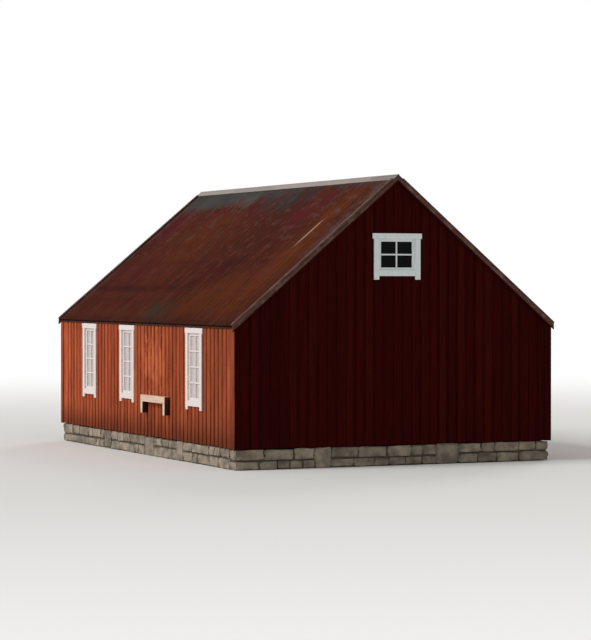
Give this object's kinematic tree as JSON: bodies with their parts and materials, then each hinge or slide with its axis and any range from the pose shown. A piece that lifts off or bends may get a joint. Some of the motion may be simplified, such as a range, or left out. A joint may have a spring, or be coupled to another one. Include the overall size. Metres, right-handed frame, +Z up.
{
  "type": "boathouse",
  "caption": "Timber boathouse with red boarded walls, tall side windows, a gable window and a steep rusted iron roof on a low stone foundation.",
  "frame": {"origin": "on the ground, under the middle of the building's bounding box", "axes": "+Z up, +Y along the ridge away from the front gable, +X to the right of someone facing the front gable; the weathered wall with the shelf is at -X"},
  "size_m": [6.985, 10.13, 5.6364],
  "materials": {
    "foundation_stone": "rough",
    "bare_timber": "sawn",
    "dark_boards": "oil paint, weathered",
    "weathered_boards": "oil paint, sun-bleached",
    "rusted_sheet": "rusted",
    "ridge_metal": "galvanised, dull",
    "verge_boards": "weathered paint",
    "white_joinery": "oil paint, satin",
    "window_glass": "clear",
    "shelf_timber": "planed, untreated",
    "forged_iron": "forged, black"
  },
  "bodies": {
    "root": {"foundation_front": "foundation_stone", "foundation_back": "foundation_stone", "foundation_left": "foundation_stone", "foundation_right": "foundation_stone", "ground_floor": "bare_timber", "front_wall": "dark_boards", "back_wall_left": "dark_boards", "back_wall_right": "dark_boards", "back_wall_top": "dark_boards", "left_wall": "weathered_boards", "right_wall": "weathered_boards", "corner_boards": "weathered_boards", "wall_posts": "bare_timber", "tie_beams": "bare_timber", "loft_floor": "bare_timber", "rafters": "bare_timber", "ridge_beam": "bare_timber", "left_roof_deck": "bare_timber", "right_roof_deck": "bare_timber", "left_roof_sheets": "rusted_sheet", "right_roof_sheets": "rusted_sheet", "ridge_cap": "ridge_metal", "front_barge_boards": "verge_boards", "back_barge_boards": "verge_boards", "front_verge_covers": "verge_boards", "back_verge_covers": "verge_boards", "front_window_trim": "white_joinery", "front_window_sash": "white_joinery", "front_window_glass": "window_glass", "back_window_trim": "white_joinery", "back_window_sash": "white_joinery", "back_window_glass": "window_glass", "left_window_trims": "white_joinery", "left_window_sashes": "white_joinery", "left_window_glass": "window_glass", "right_window_trims": "white_joinery", "right_window_sashes": "white_joinery", "right_window_glass": "window_glass", "shelf_board": "shelf_timber", "shelf_brackets": "shelf_timber", "door_frame": "white_joinery", "door_trim": "white_joinery", "boat_door_left": "dark_boards", "boat_door_right": "dark_boards", "door_hinges": "forged_iron"}
  },
  "joints": []
}
